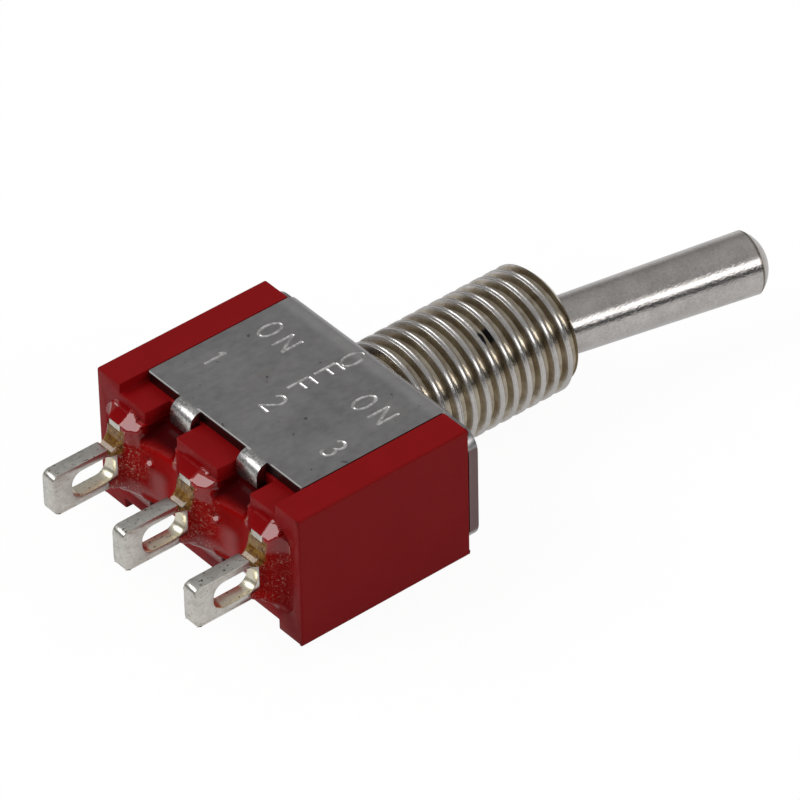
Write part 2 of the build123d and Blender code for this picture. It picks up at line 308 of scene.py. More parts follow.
def metal(name, v):
    material, tree, shader = newMaterial(name)
    shader.inputs["Metallic"].default_value = 1
    coarse = noise(tree, mmCoords(tree, v.get("flow", (1, 1, 1))), v.get("patch", 0.8), 3)
    fine = noise(tree, mmCoords(tree, v.get("grain", (1, 1, 1))), v.get("fine", 9), 5)
    mixed = sums(tree, "MULTIPLY_ADD", fine, 0.5, product(tree, coarse, 0.5))
    colour = twoTone(tree, mixed, (v["dark"], v["colour"]), 0.36, 0.62)
    feed(tree, colour, shader.inputs["Base Color"])
    feed(tree, twoTone(tree, mixed, (v["rough"] * 1.2, v["rough"] * 0.85)), shader.inputs["Roughness"])
    bump(tree, shader, fine, v.get("lift", 0.3), v.get("liftHeight", 0.004))
    return material, tree, shader, colour


# rim is a painted highlight colour, lighter and pinker than the case red
caseRedValues = {"reds": ((0.33, 0.004, 0.006), (0.355, 0.005, 0.007)), "rim": (0.4, 0.04, 0.045),
                 "rough": (0.42, 0.36), "specular": 0.1}


def makeCaseRed():
    v = caseRedValues
    material, tree, shader = newMaterial("caseRed")
    shader.inputs["Specular IOR Level"].default_value = v["specular"]
    where = mmCoords(tree)
    y = axes(tree, "Y")[0]
    red = twoTone(tree, noise(tree, where, 0.6), v["reds"])
    # painted highlight: the rim face at the open end is painted lighter in patches
    rim = product(tree, fade(tree, y, -9.44, -9.475), fade(tree, noise(tree, where, 3.5, 6, 0.7), 0.2, 0.75), 0.5)
    feed(tree, blend(tree, rim, red, v["rim"]), shader.inputs["Base Color"])
    feed(tree, twoTone(tree, noise(tree, where, 2.5), v["rough"]), shader.inputs["Roughness"])
    bump(tree, shader, noise(tree, where, 14, 6, 0.6), 0.35, 0.004)
    return material


frameSteelValues = {"colour": (0.475, 0.465, 0.465), "dark": (0.35, 0.34, 0.342), "rough": 0.33,
                    "flow": (1, 0.6, 1), "grain": (1.2, 0.7, 1.2), "patch": 0.5, "fine": 2.5,
                    "lift": 0.2, "liftHeight": 0.002,
                    "bend": (0.85, 0.84, 0.83), "paintedHighlight": (0.98, 0.97, 0.96), "spot": (0.1, 0.09, 0.09),
                    "mottle": ((0.26, 0.25, 0.25), (0.93, 0.92, 0.9)), "smear": (0.4, 0.27, 0.25),
                    "sideCutReflection": (0.17, 0.1, 0.095), "legCutShade": (0.06, 0.028, 0.027)}


def makeFrameSteel():
    v = frameSteelValues
    material, tree, shader, colour = metal("frameSteel", v)
    where = mmCoords(tree)
    x, y, z = axes(tree, "XYZ")
    wide = away(tree, x)
    # painted highlight: a lighter band along the bend
    bend = product(tree, fade(tree, y, -1.25, -0.8), fade(tree, y, -0.2, -0.5), 0.3)
    colour = blend(tree, bend, colour, v["bend"])
    # the stamped strokes are painted bright, unevenly: a painted highlight on the groove walls
    stroke = product(tree, fade(tree, z, 3.332, 3.318), fade(tree, z, 3.24, 3.26), fade(tree, y, -7.7, -7.6),
                     fade(tree, wide, 4.99, 4.95), fade(tree, y, -0.7, -0.8))
    brokenHighlight = sums(tree, "MULTIPLY_ADD", fade(tree, noise(tree, where, 5, 4, 0.6), 0.4, 0.6), 0.6, 0.35)
    colour = blend(tree, product(tree, stroke, brokenHighlight), colour, v["paintedHighlight"])
    # so is the leg's end edge between the hooks: a painted highlight
    legEdgeHighlight = product(tree, fade(tree, y, -7.94, -7.97), fade(tree, y, -8.1, -8.06), fade(tree, z, 3.22, 3.27),
                      fade(tree, away(tree, wide, shared["hook"]), 0.6, 0.7))
    colour = blend(tree, product(tree, legEdgeHighlight, 0.9), colour, v["paintedHighlight"])
    rougher = most(tree, product(tree, stroke, 0.2), legEdgeHighlight)
    feed(tree, sums(tree, "MULTIPLY_ADD", rougher, 0.22, v["rough"]), shader.inputs["Roughness"])
    # hooks, then spots and a faint smear on the flat face
    mottle = twoTone(tree, noise(tree, where, 9, 5, 0.75), v["mottle"], 0.38, 0.6)
    colour = blend(tree, product(tree, fade(tree, y, -7.95, -8.2), 0.75), colour, mottle)
    spots = fade(tree, noise(tree, mmCoords(tree, (1, 1, 1), (3.1, 1.7, 0)), 2.2, 2, 0.4), 0.72, 0.76)
    colour = blend(tree, product(tree, spots, 0.7), colour, v["spot"])
    smear = fade(tree, noise(tree, mmCoords(tree, (1, 0.4, 1), (5.2, 0.3, 1)), 0.9, 3, 0.6), 0.6, 0.75)
    colour = blend(tree, product(tree, smear, 0.25), colour, v["smear"])
    # sheared edges: ends of the ears, sides and ends of the legs. Their brownish red is a painted reflection of the
    # red case, and the legs' ends are painted near black as painted shade
    endCutReflection = product(tree, fade(tree, wide, 6.58, 6.62), 0.9)
    sideCutReflection = product(tree, fade(tree, away(tree, facing(tree, 0)), 0.8, 0.95), fade(tree, y, -7.5, -7.7), 0.8)
    colour = blend(tree, most(tree, endCutReflection, sideCutReflection), colour, v["sideCutReflection"])
    legCutShade = product(tree, fade(tree, facing(tree, 1), -0.8, -0.95), fade(tree, y, -8.1, -8.06),
                     fade(tree, y, -7.9, -7.98), 0.95)
    colour = blend(tree, legCutShade, colour, v["legCutShade"])
    feed(tree, colour, shader.inputs["Base Color"])
    return material


# nick is a painted shade colour for the staked nick; the roots' stain is tarnish
threadNickelValues = {"colour": (0.74, 0.715, 0.695), "dark": (0.56, 0.54, 0.52), "rough": 0.24,
                      "patch": 1.2, "fine": 13, "lift": 0.8, "liftHeight": 0.007,
                      "stain": ((0.34, 0.275, 0.195), (0.55, 0.49, 0.385)), "nick": (0.02, 0.02, 0.028),
                      "nickAt": (1.52, 4.66, 2.53), "nickStretch": (1.75, 4.6, 1.9)}


def makeThreadNickel():
    v = threadNickelValues
    material, tree, shader, colour = metal("threadNickel", v)
    x, z = axes(tree, "XZ")
    radius = sums(tree, "SQRT", sums(tree, "MULTIPLY_ADD", x, x, product(tree, z, z)))
    tarnishAndShadeNoise = noise(tree, mmCoords(tree), 2.2, 5, 0.6)
    depth = fade(tree, sums(tree, "MULTIPLY_ADD", sums(tree, "SUBTRACT", tarnishAndShadeNoise, 0.5), 0.25, radius), 2.94, 2.76)
    share = product(tree, depth, fade(tree, radius, 2.3, 2.45), 0.95)
    stain = twoTone(tree, noise(tree, mmCoords(tree), 1.4, 4, 0.6), v["stain"], 0.35, 0.65)
    colour = blend(tree, share, colour, stain)
    # painted shade: the nick is painted near black, with a ragged edge
    fromNick = distance(tree, v["nickAt"], v["nickStretch"])
    nickShade = fade(tree, sums(tree, "MULTIPLY_ADD", tarnishAndShadeNoise, 0.6, fromNick), 1.4, 1.2)
    feed(tree, blend(tree, nickShade, colour, v["nick"]), shader.inputs["Base Color"])
    feed(tree, sums(tree, "MULTIPLY_ADD", share, -0.05, v["rough"]), shader.inputs["Roughness"])
    return material


# valley is a painted shade colour for the notches
resinAmberValues = {"deep": ((0.33, 0.002, 0.002), (0.49, 0.005, 0.005)), "valley": (0.075, 0.001, 0.002),
                    "thin": (0.35, 0.005, 0.007), "speck": (0.82, 0.44, 0.34),
                    "amber": ((0.1, 0.03, 0.004), (0.29, 0.135, 0.022), (0.46, 0.28, 0.07)),
                    "rough": (0.4, 0.28), "specular": 0.02, "coatRough": 0.05, "coatIor": 1.57}


def makeResin():
    v = resinAmberValues
    material, tree, shader = newMaterial("resinAmber")
    where = mmCoords(tree)
    x, z = axes(tree, "XZ")
    side = sums(tree, "WRAP", x, shared["lugPitch"] / 2, -shared["lugPitch"] / 2)  # from the nearest lug
    wide, awayZ = away(tree, x), away(tree, z)
    fromNotch = away(tree, wide, shared["hook"])
    # red body, painted dark in the notches under the hooks as painted shade, and as red as the case where it is thin
    # or bare
    deep = twoTone(tree, noise(tree, where, 0.9, 3), v["deep"])
    valley = product(tree, fade(tree, fromNotch, 1.1, 0.85), fade(tree, awayZ, 1.4, 1.75))
    bareFront = product(tree, fade(tree, side, -0.4, -0.46), fade(tree, z, 0.6, 0.9))
    bare = product(tree, fade(tree, side, -1.3, -1.1), fade(tree, side, 0.32, 0.24), fade(tree, x, -5.25, -5.1),
                   most(tree, fade(tree, z, 1.72, 1.78), bareFront))
    thin = most(tree, fade(tree, wide, 5.45, 5.85), bare)
    colour = blend(tree, thin, blend(tree, valley, deep, v["valley"]), v["thin"])
    # amber flux at each root
    ragged = sums(tree, "MULTIPLY_ADD", noise(tree, where, 3, 3), 0.2, sums(tree, "SUBTRACT", side, 0.1))
    amberHere = product(tree, fade(tree, side, -0.5, -0.42), fade(tree, ragged, 0.72, 0.6),
                        fade(tree, awayZ, 0.62, 0.7), fade(tree, awayZ, 1.76, 1.7), fade(tree, z, 0, 0.3))
    amber = ramp(tree, noise(tree, where, 4, 5, 0.65), list(zip((0.32, 0.5, 0.68), v["amber"])))
    colour = blend(tree, amberHere, colour, amber)
    # specks right of each lug
    band = product(tree, fade(tree, side, 0.3, 0.45), fade(tree, side, 2.3, 0.9), fade(tree, awayZ, 1.75, 1.0))
    crowd = sums(tree, "MULTIPLY_ADD", fade(tree, noise(tree, where, 2.3, 4, 0.6), 0.36, 0.6), 0.8, 0.2)
    fine = fade(tree, noise(tree, where, 14, 3, 0.6), 0.56, 0.63)
    flakes = fade(tree, noise(tree, where, 8, 4, 0.7), 0.58, 0.62)
    specks = product(tree, most(tree, product(tree, fine, 0.5), flakes), crowd, band, 0.85)
    feed(tree, blend(tree, specks, colour, v["speck"]), shader.inputs["Base Color"])
    # glossy on the slopes, the dimples and the amber, matt in between
    middle = product(tree, fade(tree, away(tree, side), 1.6, 2.3), fade(tree, z, 0.7, 0.1), 0.8)
    slopes = most(tree, fade(tree, z, -0.4, -1.1), fade(tree, awayZ, 1.15, 1.35), middle)
    onAmber = product(tree, fade(tree, side, -0.52, -0.44), fade(tree, side, 0.6, 0.45), fade(tree, z, 0.3, 0.6))
    dimples = [fade(tree, distance(tree, (dimpleX, 0, dimpleZ), (1, 0, 1)), 0.2, 0.14)
               for dimpleX, dimpleZ in shared["dimples"]]
    dull = product(tree, fade(tree, fromNotch, 1.0, 0.85), fade(tree, awayZ, 0.95, 1.2))
    nearEnd = product(tree, fade(tree, wide, 5.0, 5.3), fade(tree, x, 0, 1), fade(tree, z, 1.5, 1.1))
    unMatt = sums(tree, "MULTIPLY_ADD", most(tree, dull, bare, nearEnd), -1, 1)
    gloss = product(tree, most(tree, slopes, onAmber, *dimples), unMatt)
    feed(tree, sums(tree, "MULTIPLY_ADD", gloss, 0.98, 0.02), shader.inputs["Coat Weight"])
    shader.inputs["Coat Roughness"].default_value = v["coatRough"]
    shader.inputs["Coat IOR"].default_value = v["coatIor"]
    feed(tree, twoTone(tree, noise(tree, where, 5, 4), v["rough"]), shader.inputs["Roughness"])
    shader.inputs["Specular IOR Level"].default_value = v["specular"]
    bump(tree, shader, noise(tree, where, 1.6, 2, 0.5), 0.25, 0.02)
    return material


lugPlateValues = {"colour": (0.8, 0.78, 0.73), "dark": (0.6, 0.575, 0.52), "rough": 0.3,
                  "patch": 1.6, "fine": 6, "grain": (1, 0.6, 1), "lift": 0.4, "liftHeight": 0.005,
                  "eye": (0.95, 0.89, 0.7), "rim": (0.3, 0.22, 0.13), "pit": (0.07, 0.05, 0.035)}


def makeLugPlate():
    v = lugPlateValues
    material, tree, shader, colour = metal("lugPlate", v)
    y, z = axes(tree, "YZ")
    awayZ = away(tree, z)
    flat = away(tree, facing(tree, 0))
    inEye = product(tree, fade(tree, flat, 0.7, 0.5), fade(tree, awayZ, 0.72, 0.68), fade(tree, y, -12.8, -12.75),
                    fade(tree, y, -10.35, -10.4), 0.8)
    colour = blend(tree, inEye, colour, v["eye"])
    wander = sums(tree, "MULTIPLY_ADD", noise(tree, mmCoords(tree), 2.5, 3), 0.1, awayZ)
    rimLine = product(tree, fade(tree, wander, 0.9, 0.95), fade(tree, wander, 1.0, 0.96), fade(tree, flat, 0.7, 0.9))
    worn = fade(tree, noise(tree, mmCoords(tree), 3.2, 5, 0.7), 0.45, 0.6)
    colour = blend(tree, product(tree, rimLine, worn, 0.6), colour, v["rim"])
    pits = fade(tree, noise(tree, mmCoords(tree, (1, 0.7, 1)), 6.5, 4, 0.65), 0.6, 0.66)
    onTop = fade(tree, away(tree, facing(tree, 2)), 0.6, 0.85)
    colour = blend(tree, product(tree, pits, sums(tree, "MULTIPLY_ADD", onTop, 0.55, 0.4)), colour, v["pit"])
    feed(tree, colour, shader.inputs["Base Color"])
    return material


leverNickelValues = {"colour": (0.67, 0.635, 0.615), "dark": (0.5, 0.475, 0.458), "rough": 0.16,
                     "grain": (1, 0.8, 1), "fine": 10, "patch": 1.0, "lift": 1.0, "liftHeight": 0.011,
                     "ring": (0.12, 0.09, 0.06)}


def makeLeverNickel():
    v = leverNickelValues
    material, tree, shader, colour = metal("leverNickel", v)
    x, y = axes(tree, "XY")
    throw = math.radians(shared["throw"])
    along = sums(tree, "MULTIPLY_ADD", x, math.sin(throw),
                 sums(tree, "MULTIPLY_ADD", y, math.cos(throw), -shared["pivot"] * math.cos(throw)))
    ring = product(tree, fade(tree, along, 12.66, 12.72), fade(tree, along, 12.84, 12.79), 0.75)  # painted dark reflection in a ring under the dome
    feed(tree, blend(tree, ring, colour, v["ring"]), shader.inputs["Base Color"])
    return material


nylonValues = {"whites": ((0.72, 0.7, 0.62), (0.8, 0.78, 0.7)), "rough": (0.5, 0.42),
               "subsurface": 0.1, "radius": (0.0005, 0.0004, 0.0003)}


def makeNylon():
    v = nylonValues
    material, tree, shader = newMaterial("nylon")
    where = mmCoords(tree)
    feed(tree, twoTone(tree, noise(tree, where, 1.5), v["whites"]), shader.inputs["Base Color"])
    feed(tree, twoTone(tree, noise(tree, where, 4), v["rough"]), shader.inputs["Roughness"])
    shader.inputs["Subsurface Weight"].default_value = v["subsurface"]
    shader.inputs["Subsurface Radius"].default_value = v["radius"]
    bump(tree, shader, noise(tree, where, 12), 0.3, 0.004)
    return material


innerMetals = {
    "springSteel": {"colour": (0.55, 0.55, 0.54), "dark": (0.42, 0.42, 0.42), "rough": 0.28, "fine": 12},
    "bronzeStrip": {"colour": (0.68, 0.5, 0.28), "dark": (0.55, 0.38, 0.2), "rough": 0.3, "grain": (0.3, 1, 1),
                    "fine": 8},
    "contactSilver": {"colour": (0.82, 0.81, 0.78), "dark": (0.66, 0.64, 0.6), "rough": 0.26, "fine": 10},
}

caseRed = makeCaseRed()
frameSteel = makeFrameSteel()
threadNickel = makeThreadNickel()
resinAmber = makeResin()
lugPlate = makeLugPlate()
nylon = makeNylon()
leverNickel = makeLeverNickel()
springSteel, bronzeStrip, contactSilver = (metal(name, v)[0] for name, v in innerMetals.items())

for nodeName, material in (("plunger", nylon), ("rocker", bronzeStrip), ("rocker_cradle", bronzeStrip),
                           ("moving_contact_left", contactSilver), ("moving_contact_right", contactSilver),
                           ("fixed_contact_left", contactSilver), ("fixed_contact_right", contactSilver)):
    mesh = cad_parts[nodeName].data
    mesh.materials.clear()
    mesh.materials.append(material)
print("materials ready")

# Bushing: one screwed tooth, cut to length, chamfered, staked and bored

bushingValues = {
    "crest": 2.95, "root": 2.6, "crestWidth": 0.27, "pitch": 0.75, "turns": 14, "length": 8.9,
    "lead": 0.9, "chamfer": 0.32, "cone": (3.6, 0.9),  # thread cut off below the seat, and the chamfer's cone
    "ridge": ((0.05, 0), (0.022, 0.008), (0.006, 0.022), (0, 0.042), (0.008, 0.06), (0.034, 0.09)),  # below the crest
    "valley": ((0.13, 0.055), (0.035, 0.1), (0.006, 0.16)),  # above the root
    "neck": ((0, -0.95), (2.6, -0.95), (2.6, -0.48), (2.35, -0.48), (2.35, 0.2), (0, 0.2)),
    "throat": ((0, -1.5), (2.17, -1.5), (2.15, -0.95), (1.96, 3.42)),
    "seat": 1.96, "waist": (1.62, 7.12), "mouth": 2.1,
    "nick": (1.52, 4.65, 2.53), "nickSize": (0.55, 0.14, 0.15), "nickTurn": 0.541, "steps": 96}


def makeBushing():
    v = bushingValues
    pitch, crest, root, flat, end = (v[key] for key in ("pitch", "crest", "root", "crestWidth", "length"))
    ridge = [(crest - down, along) for down, along in v["ridge"]]
    tooth = ridge + [(r, flat - along) for r, along in reversed(ridge)]
    tooth += [(root + up, flat + along) for up, along in v["valley"]]
    tooth += [(root, (flat + pitch) / 2)]
    tooth += [(root + up, pitch - along) for up, along in reversed(v["valley"])]
    tooth += [(ridge[0][0], pitch)]
    rod = traceOutline("bushingThreaded", tooth)
    applyModifier(rod, "SCREW", axis="Y", screw_offset=pitch, iterations=v["turns"], steps=v["steps"],
                  render_steps=v["steps"], use_merge_vertices=True, merge_threshold=0.001)
    editAll(rod)
    bpy.ops.mesh.remove_doubles(threshold=0.001)
    bpy.ops.transform.translate(value=(0, -v["lead"], 0))
    for y, normal in ((0.0, (0, -1, 0)), (end, (0, 1, 0))):
        bpy.ops.mesh.select_all(action="SELECT")
        bpy.ops.mesh.bisect(plane_co=(0, y, 0), plane_no=normal, use_fill=True, clear_outer=True)
    bpy.ops.mesh.select_all(action="SELECT")
    bpy.ops.mesh.normals_make_consistent(inside=False)
    endEdit()
    wide, tall = v["cone"]
    sleeve = [(0, -2), (wide, -2), (wide, end - tall), (crest - v["chamfer"], end + 0.01), (0, end + 0.01)]
    combine(rod, turnedPiece("bushingEnd", sleeve, v["steps"]), "INTERSECT")
    combine(rod, turnedPiece("bushingNeck", v["neck"], v["steps"]), "UNION")
    seat = [(v["seat"] * math.sin(math.radians(a)), shared["pivot"] + v["seat"] * math.cos(math.radians(a)))
            for a in range(56, 91, 5)]  # the ball's seat
    bore = [*v["throat"], *seat[::-1], v["waist"], (v["mouth"], end), (v["mouth"] + 0.1, end + 0.4), (0, end + 0.4)]
    combine(rod, turnedPiece("bushingBore", bore, v["steps"]), "DIFFERENCE")
    clearSelection()
    bpy.ops.mesh.primitive_ico_sphere_add(subdivisions=3, radius=1, location=v["nick"])
    nick = bpy.context.object
    nick.scale = v["nickSize"]
    nick.rotation_euler = (0, v["nickTurn"], 0)
    placeObject()
    combine(rod, nick, "DIFFERENCE")
    closeUp(rod, 0.00005)
    return finish(rod, threadNickel, "switch_body", ["bushing"])


makeBushing()
print("bushing made")

# Lever: turned upright about its ball, then leaned

leverValues = {"apex": 13.5, "tip": 1.45, "dome": 0.75, "neck": (1.29, 1.395), "ball": 1.9,
               "skirt": ((1.25, -1.431), (1.25, -2.6)), "bore": ((0.8, -2.6), (0.8, 1.6), (0, 1.9)), "steps": 128}


def makeLever():
    v = leverValues
    domeRadius = (v["tip"] ** 2 + v["dome"] ** 2) / (2 * v["dome"])
    dome = [(domeRadius * math.sin(a), v["apex"] - domeRadius * (1 - math.cos(a)))
            for a in [math.asin(v["tip"] / domeRadius) * i / 14 for i in range(15)]]
    ball = [(v["ball"] * math.sin(math.radians(a)), v["ball"] * math.cos(math.radians(a))) for a in range(43, 139, 5)]
    piece = turnedPiece("leverHandle", [*dome, v["neck"], *ball, *v["skirt"], *v["bore"]], v["steps"])
    lean = Matrix.Rotation(math.radians(-shared["throw"]), 4, "Z")
    piece.data.transform(Matrix.Translation((0, shared["pivot"], 0)) @ lean)
    return finish(piece, leverNickel, "lever", ["lever"])


makeLever()
print("lever made")

# Spring behind the plunger, squeezed between the plunger's top and the end of the lever's bore


def makeSpring():
    piece = finish(nodeCopy("plunger_spring", "plungerSpring"), springSteel, None, ["plunger_spring"])
    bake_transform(piece)


makeSpring()
print("spring fitted")

# Case and lugs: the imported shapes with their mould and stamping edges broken

caseValues = {"edge": 0.09}
lugValues = {"edge": 0.06, "shoulder": {"front": -10.15, "back": -9.2, "low": -1.5, "high": 1.95, "thick": 0.74}}


def addShoulder(piece, centre):
    v = lugValues["shoulder"]
    clearSelection()
    middle = (centre, (v["front"] + v["back"]) / 2, (v["low"] + v["high"]) / 2)
    bpy.ops.mesh.primitive_cube_add(size=1, location=middle)
    block = bpy.context.object
    block.scale = (v["thick"], v["back"] - v["front"], v["high"] - v["low"])
    placeObject()
    combine(piece, block, "UNION")


def makeCase():
    piece = nodeCopy("case", "caseMoulding")
    softEdges(piece, caseValues["edge"])
    return finish(piece, caseRed, "switch_body", ["case"], even=True)


def makeLug(nodeName, name, centre):
    piece = nodeCopy(nodeName, name)
    addShoulder(piece, centre)
    softEdges(piece, lugValues["edge"])
    return finish(piece, lugPlate, "switch_body", [nodeName], even=True)


makeCase()
makeLug("common_terminal", "lugMiddle", 0)
makeLug("end_terminal_left", "lugLeft", -shared["lugPitch"])
makeLug("end_terminal_right", "lugRight", shared["lugPitch"])
print("case and lugs made")

# Frame, with its stamped words

frameValues = {"edge": 0.07, "face": 3.335, "stroke": 0.09, "cut": 0.05, "wide": 0.62, "tall": 1.14,
               "words": (("O", -3.86, -2.47), ("N", -2.68, -2.49), ("O", -0.08, -1.13), ("F", -0.08, -2.38),
                         ("F", -0.1, -3.8), ("O", 2.43, -2.56), ("N", 3.6, -2.52), ("1", -3.9, -5.4),
                         ("2", 0.0, -5.4), ("3", 3.9, -5.4))}


def arc(middle, radiusX, radiusY, start, step, count):
    turns = [math.radians(start - step * i) for i in range(count)]
    return [(radiusX * math.cos(t), middle + radiusY * math.sin(t)) for t in turns]


# each letter's strokes, in a box one unit wide and tall
glyphs = {
    "O": [[(0.5 * math.cos(t), 0.5 * math.sin(t)) for t in [math.tau * i / 28 for i in range(29)]]],
    "N": [[(-0.5, -0.5), (-0.5, 0.5)], [(-0.5, 0.5), (0.5, -0.5)], [(0.5, -0.5), (0.5, 0.5)]],
    "F": [[(-0.45, -0.5), (-0.45, 0.52)], [(-0.47, 0.5), (0.5, 0.5)], [(-0.45, 0.02), (0.42, 0.02)]],
    "1": [[(-0.25, 0.3), (0.06, 0.51)], [(0.05, 0.5), (0.05, -0.5)]],
    "2": [arc(0.22, 0.45, 0.28, 165, 15, 14) + [(-0.48, -0.5)], [(-0.49, -0.49), (0.5, -0.49)]],
    "3": [arc(0.26, 0.4, 0.24, 160, 20, 13) + arc(-0.24, 0.45, 0.26, 80, 20, 13)],
}


def makeStamp():
    v = frameValues
    curve = bpy.data.curves.new("stampedWords", "CURVE")
    curve.dimensions = "3D"
    curve.bevel_depth = v["stroke"]
    curve.bevel_resolution = 3
    curve.use_fill_caps = True
    for letter, x, y in v["words"]:
        for stroke in glyphs[letter]:
            closed = math.dist(stroke[0], stroke[-1]) < 1e-6
            points = stroke[:-1] if closed else stroke
            spline = curve.splines.new("POLY")
            spline.points.add(len(points) - 1)
            for point, (u, w) in zip(spline.points, points):
                point.co = (x + u * v["wide"], y + w * v["tall"], v["face"] + v["stroke"] - v["cut"], 1)
            spline.use_cyclic_u = closed
    stamp = bpy.data.objects.new("stampedWords", curve)
    bpy.context.scene.collection.objects.link(stamp)
    pick(stamp)
    bpy.ops.object.convert(target="MESH")
    closeUp(stamp)
    return stamp


def makeFrame():
    plate = nodeCopy("frame_bracket", "framePlate")
    editAll(plate)
    bpy.ops.mesh.dissolve_limited(angle_limit=math.radians(2))
    endEdit()
    breakEdges(plate, frameValues["edge"], True)
    combine(plate, makeStamp(), "DIFFERENCE", selfCross=True)
    closeUp(plate)
    return finish(plate, frameSteel, "switch_body", ["frame_bracket"], even=True)


makeFrame()
print("frame stamped")

# Resin: one smooth skin over the recess, creeping up each lug and falling to the hooks in the notches

resinValues = {
    "level": -9.42, "rim": -9.484, "crown": -10.13, "foot": -8.1,  # heights along the bushing's axis
    "recess": (6.09, 2.155), "corner": 0.9, "apron": (0.95, 0.38), "step": 0.05,
    "climb": 0.83, "spread": (0.35, 1.5), "lug": 0.375, "moundTop": 1.02, "swell": 0.1,
    "notch": 1.03, "fall": 0.81, "fallFrom": 1.35,
    "facet": {"start": -10.02, "slope": 1.125, "at": 2.01, "tilt": 0.217, "steep": 2.2},  # glossy face by each lug
    "facetEnds": ((0.33, 1.22, 1.9, 2.38), (0.42, 1.45, 1.8, 2.24), (0.2, 1.0, 1.93, 2.42)),  # left, right, foot, top
    "amber": {"low": 0.74, "top": 1.68, "face": -10.15, "depth": 0.62, "under": -10.82},
    "dimple": 0.22}


def ease(value, low, high):
    t = min(max((value - low) / (high - low), 0), 1)
    return t * t * (3 - 2 * t)


def mix(first, second, share):
    return first + (second - first) * share


def facetHeight(x, aside, high):
    v, f = resinValues, resinValues["facet"]
    left, right, foot, top = v["facetEnds"][min(max(round(x / shared["lugPitch"]) + 1, 0), 2)]
    height = f["start"] + f["slope"] * (high - f["at"]) + f["tilt"] * (aside - 0.4)
    height = height + 3 * max(high - top, 0) - 2.5 * max(foot - high, 0)
    height += 1.2 * max(aside - right, 0)
    return mix(height, v["crown"] + f["steep"] * (high - 1.95), min(max(left - aside, 0) / 0.12, 1))


def resinHeight(x, z):
    v, amber = resinValues, resinValues["amber"]
    high = abs(z)
    lugs = (-shared["lugPitch"], 0, shared["lugPitch"])
    aside = min((x - centre for centre in lugs), key=abs)
    mound = sum(math.exp(-max(abs(x - c) - v["lug"], 0) / v["spread"][x > c]) for c in lugs)
    swell = v["swell"] * max(1 - (z / v["recess"][1]) ** 2, 0)
    y = v["level"] - v["climb"] * min(mound, v["moundTop"]) - swell
    inNotch = ease(v["notch"] - abs(abs(x) - shared["hook"]), 0, 0.4)
    nearLug = 1 - ease(abs(aside), 1.1, 1.6)
    y = mix(y, v["rim"], ease(high, 1.5, 2.12) * (1 - nearLug) * (1 - inNotch))
    y = mix(y, v["level"] + v["fall"], ease(high, v["fallFrom"], v["recess"][1]) * inNotch)
    y = mix(y, v["rim"], ease(abs(x), 5.3, 6.06))
    if z > 0 and nearLug > 0 and inNotch == 0:
        y = max(y, min(facetHeight(x, aside, high), v["rim"]), v["crown"] if high > 1.6 else y)
    elif z < 0:
        y = mix(y, v["rim"], ease(high, 1.2, 2.12) * (1 - inNotch))
    for dimpleX, dimpleZ in shared["dimples"]:
        off = math.hypot(x - dimpleX, z - dimpleZ)
        y += math.exp(-(off / v["dimple"]) ** 4) * v["facet"]["slope"] * (z - dimpleZ)
    low, top = amber["low"], amber["top"]
    if low - 0.08 < high < top:
        sunk = 1 - min(max((high - low) / (top - low), 0), 1)
        hollow = amber["face"] - 0.04 - amber["depth"] * sunk ** 2.5
        beside = ease(-aside, 0.38, 0.48) + ease(aside, 0.38, 0.8)
        filled = hollow if z > 0 else mix(amber["under"], y, ease(high, 0.98, 1.2))
        y = mix(y, filled, (1 - beside) * ease(high, low - 0.08, low))
    elif top <= high < 1.93 and abs(aside) < 0.41 and z > 0:  # behind the lug's shoulder
        y = max(y, amber["face"] + 0.12)
    return min(y, v["rim"]) if high > v["recess"][1] - 0.03 and not inNotch else y


def inRecess(x, z):
    v = resinValues
    halfX, halfZ = v["recess"]
    corner = v["corner"]
    outX, outZ = abs(x) - (halfX - corner), abs(z) - (halfZ - corner)
    if math.hypot(max(outX, 0), max(outZ, 0)) <= corner + 0.09:
        return True
    aside = min(abs(x - centre) for centre in (-shared["lugPitch"], 0, shared["lugPitch"]))
    return z > 0 and math.hypot(aside / v["apron"][0], max(z - halfZ, 0) / v["apron"][1]) < 1


def makeResinSkin():
    v = resinValues
    clearSelection()
    reachX = v["recess"][0] + 0.09
    reachZ = v["recess"][1] + v["apron"][1]
    countX, countZ = round(2 * reachX / v["step"]), round(2 * reachZ / v["step"])
    bpy.ops.mesh.primitive_grid_add(x_subdivisions=countX, y_subdivisions=countZ, size=2, location=(0, 0, 0))
    piece = bpy.context.object
    piece.name = "resinFill"
    bpy.ops.object.mode_set(mode="EDIT")
    bpy.ops.mesh.select_all(action="DESELECT")
    endEdit()
    for vertex in piece.data.vertices:
        x, z = vertex.co.x * reachX, vertex.co.y * reachZ
        vertex.select = not inRecess(x, z)
        vertex.co = (x, resinHeight(x, z), z)
    pick(piece)
    bpy.ops.object.mode_set(mode="EDIT")
    bpy.ops.mesh.select_mode(type="VERT")
    bpy.ops.mesh.delete(type="VERT")
    bpy.ops.mesh.select_all(action="SELECT")
    bpy.ops.mesh.extrude_region_move(TRANSFORM_OT_translate={"value": (0, 2, 0)})
    bpy.ops.transform.resize(value=(1, 0, 1), center_override=(0, v["foot"], 0))
    bpy.ops.mesh.select_all(action="SELECT")
    bpy.ops.mesh.normals_make_consistent(inside=False)
    endEdit()
    return finish(piece, resinAmber, "switch_body", ["potting_seal"], smooth=60)


makeResinSkin()
print("resin poured")

# Floor, light and camera

